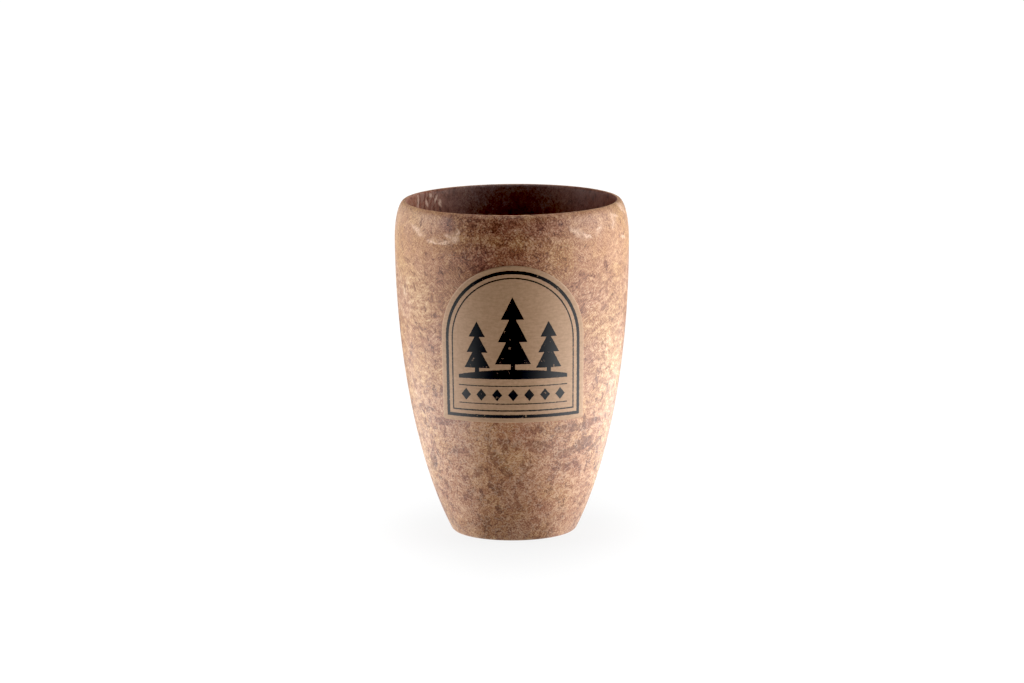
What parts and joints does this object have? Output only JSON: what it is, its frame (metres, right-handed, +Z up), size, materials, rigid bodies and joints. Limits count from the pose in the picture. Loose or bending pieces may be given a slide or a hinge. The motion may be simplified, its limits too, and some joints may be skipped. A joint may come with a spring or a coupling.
{
  "type": "camping cup",
  "caption": "Handle-less tumbler cup of moulded wood-fibre composite, with a narrow foot, bellied wall, rounded shoulder and arched paper label, for drinking outdoors.",
  "frame": {"origin": "on the table, under the middle of the foot", "axes": "+Z up along the cup's axis; the label on the front faces -Y"},
  "size_m": [0.0794, 0.0799, 0.114],
  "materials": {
    "cup_composite": "satin moulded wood-fibre composite, mottled tan and red-brown with pale fibre swirls and dark flecks",
    "label_kraft": "satin kraft paper with a plain dark stamped print",
    "label_adhesive": "thin tacky film, honey coloured"
  },
  "bodies": {
    "root": {"cup_body": "cup_composite", "label_adhesive": "label_adhesive", "label_paper": "label_kraft"}
  },
  "joints": []
}
